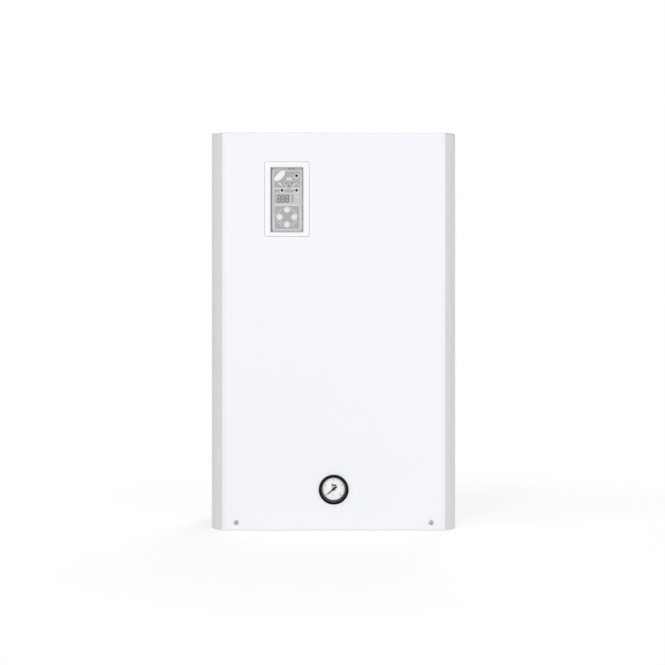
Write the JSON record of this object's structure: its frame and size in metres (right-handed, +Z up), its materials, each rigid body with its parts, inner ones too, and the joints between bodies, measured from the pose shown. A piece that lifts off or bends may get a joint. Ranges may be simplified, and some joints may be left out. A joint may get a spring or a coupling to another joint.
{
  "type": "electric system boiler",
  "caption": "Wall-hung electric boiler: white cased box with control panel, pressure gauge, heating vessel, pump, expansion vessel and pipe connections.",
  "frame": {"origin": "on the wall face, on the centreline, at the height of the hanging keyholes", "axes": "+X to the right seen from the front, +Y into the wall, +Z up"},
  "size_m": [0.41, 0.178, 0.66],
  "materials": {
    "back_plate": "zinc-coated sheet",
    "bottom_tray": "zinc-coated sheet",
    "front_cover": "smooth white powder coat",
    "side_panel_left": "smooth light-grey powder coat",
    "side_panel_right": "smooth light-grey powder coat",
    "side_panel_screws": "bright zinc",
    "cover_screws": "bright zinc",
    "panel_bezel": "fine satin",
    "panel_fascia": "satin printed foil",
    "display_lens": "glossy tinted window",
    "indicator_lenses": "glossy dark lens",
    "key_up": "satin",
    "key_right": "satin",
    "key_down": "satin",
    "key_left": "satin",
    "display_board": "solder mask",
    "panel_housing": "satin",
    "panel_bracket": "zinc-coated sheet",
    "gauge_case": "semi-gloss black",
    "gauge_dial": "matt white",
    "gauge_needle": "matt black",
    "gauge_lens": "clear",
    "gauge_movement": "drawn",
    "heating_tank": "stainless",
    "heater_flange": "machined",
    "gaskets": "matt",
    "flange_bolts": "zinc",
    "pump_screws": "blackened",
    "heating_elements": "annealed sheath",
    "tank_clamps": "zinc-coated sheet",
    "pump_housing": "dipped black",
    "pump_motor": "dark grey",
    "pump_rotor": "ground",
    "pump_speed_knob": "satin red",
    "pipe_nuts": "machined",
    "return_connector": "machined",
    "flow_connector": "machined",
    "flow_pipe": "drawn copper",
    "vent_tee": "cast",
    "manifold": "forged",
    "flow_sensor": "glass-filled black",
    "flow_turbine": "natural",
    "safety_valve": "forged",
    "safety_valve_knob": "satin red",
    "valve_disc": "machined",
    "valve_spring": "spring wire",
    "discharge_pipe": "drawn copper",
    "air_vent": "machined",
    "air_vent_float": "natural",
    "expansion_vessel": "red gloss enamel",
    "vessel_diaphragm": "matt",
    "vessel_hose": "braided sleeve",
    "electronics_tray": "zinc-coated sheet",
    "main_board": "solder mask",
    "terminal_block": "satin",
    "thermal_cutout": "moulded",
    "cutout_button": "satin red",
    "triac_saddle": "extruded",
    "wiring": "silicone sleeve",
    "cable_glands": "nylon"
  },
  "bodies": {
    "root": {"back_plate": "back_plate", "bottom_tray": "bottom_tray", "panel_bezel": "panel_bezel", "panel_fascia": "panel_fascia", "display_lens": "display_lens", "indicator_lenses": "indicator_lenses", "display_board": "display_board", "panel_housing": "panel_housing", "panel_bracket": "panel_bracket", "gauge_case": "gauge_case", "gauge_dial": "gauge_dial", "gauge_lens": "gauge_lens", "gauge_movement": "gauge_movement", "heating_tank": "heating_tank", "heater_flange": "heater_flange", "gaskets": "gaskets", "flange_bolts": "flange_bolts", "pump_screws": "pump_screws", "heating_elements": "heating_elements", "tank_clamps": "tank_clamps", "pump_housing": "pump_housing", "pump_motor": "pump_motor", "pipe_nuts": "pipe_nuts", "return_connector": "return_connector", "flow_connector": "flow_connector", "flow_pipe": "flow_pipe", "vent_tee": "vent_tee", "manifold": "manifold", "flow_sensor": "flow_sensor", "safety_valve": "safety_valve", "valve_spring": "valve_spring", "discharge_pipe": "discharge_pipe", "air_vent": "air_vent", "expansion_vessel": "expansion_vessel", "vessel_diaphragm": "vessel_diaphragm", "vessel_hose": "vessel_hose", "electronics_tray": "electronics_tray", "main_board": "main_board", "terminal_block": "terminal_block", "thermal_cutout": "thermal_cutout", "triac_saddle": "triac_saddle", "wiring": "wiring", "cable_glands": "cable_glands"},
    "cover": {"front_cover": "front_cover", "side_panel_left": "side_panel_left", "side_panel_right": "side_panel_right", "side_panel_screws": "side_panel_screws", "cover_screws": "cover_screws"},
    "up_key": {"key_up": "key_up"},
    "right_key": {"key_right": "key_right"},
    "down_key": {"key_down": "key_down"},
    "left_key": {"key_left": "key_left"},
    "needle": {"gauge_needle": "gauge_needle"},
    "rotor": {"pump_rotor": "pump_rotor"},
    "speed_knob": {"pump_speed_knob": "pump_speed_knob"},
    "turbine": {"flow_turbine": "flow_turbine"},
    "relief_knob": {"safety_valve_knob": "safety_valve_knob"},
    "relief_disc": {"valve_disc": "valve_disc"},
    "float": {"air_vent_float": "air_vent_float"},
    "reset_button": {"cutout_button": "cutout_button"}
  },
  "joints": [
    {"name": "cover_slide", "type": "slide", "parent": "root", "child": "cover", "axis": [0, -1, 0], "range_m": [0, 0.2]},
    {"name": "up_key_press", "type": "slide", "parent": "root", "child": "up_key", "axis": [0, 1, 0], "range_m": [0, 0.0008], "stiffness_N_per_m": 600},
    {"name": "right_key_press", "type": "slide", "parent": "root", "child": "right_key", "axis": [0, 1, 0], "range_m": [0, 0.0008], "stiffness_N_per_m": 600},
    {"name": "down_key_press", "type": "slide", "parent": "root", "child": "down_key", "axis": [0, 1, 0], "range_m": [0, 0.0008], "stiffness_N_per_m": 600},
    {"name": "left_key_press", "type": "slide", "parent": "root", "child": "left_key", "axis": [0, 1, 0], "range_m": [0, 0.0008], "stiffness_N_per_m": 600},
    {"name": "needle_turn", "type": "hinge", "parent": "root", "child": "needle", "pos_m": [0, -0.17, -0.552], "axis": [0, 1, 0], "range_deg": [0, 260], "stiffness_Nm_per_rad": 0.002},
    {"name": "rotor_spin", "type": "hinge", "parent": "root", "child": "rotor", "pos_m": [0.11, -0.11, -0.509], "axis": [0, 1, 0], "continuous": true},
    {"name": "speed_knob_turn", "type": "hinge", "parent": "root", "child": "speed_knob", "pos_m": [0.162, -0.152, -0.509], "axis": [0, 1, 0], "range_deg": [0, 120]},
    {"name": "turbine_spin", "type": "hinge", "parent": "root", "child": "turbine", "pos_m": [0.028, -0.062, -0.494], "axis": [0, 0, 1], "continuous": true},
    {"name": "relief_knob_turn", "type": "hinge", "parent": "root", "child": "relief_knob", "pos_m": [0.028, -0.138, -0.438], "axis": [0, -1, 0], "range_deg": [0, 90], "stiffness_Nm_per_rad": 0.02},
    {"name": "relief_disc_lift", "type": "slide", "parent": "root", "child": "relief_disc", "axis": [0, -1, 0], "range_m": [0, 0.0015], "deforming": ["valve_spring"]},
    {"name": "float_rise", "type": "slide", "parent": "root", "child": "float", "axis": [0, 0, 1], "range_m": [0, 0.006]},
    {"name": "reset_press", "type": "slide", "parent": "root", "child": "reset_button", "axis": [0, 1, 0], "range_m": [0, 0.002], "stiffness_N_per_m": 400}
  ],
  "couplings": [
    {"joint": "relief_knob_turn", "follows": "relief_disc_lift", "rad_per_m": 1047.2}
  ]
}
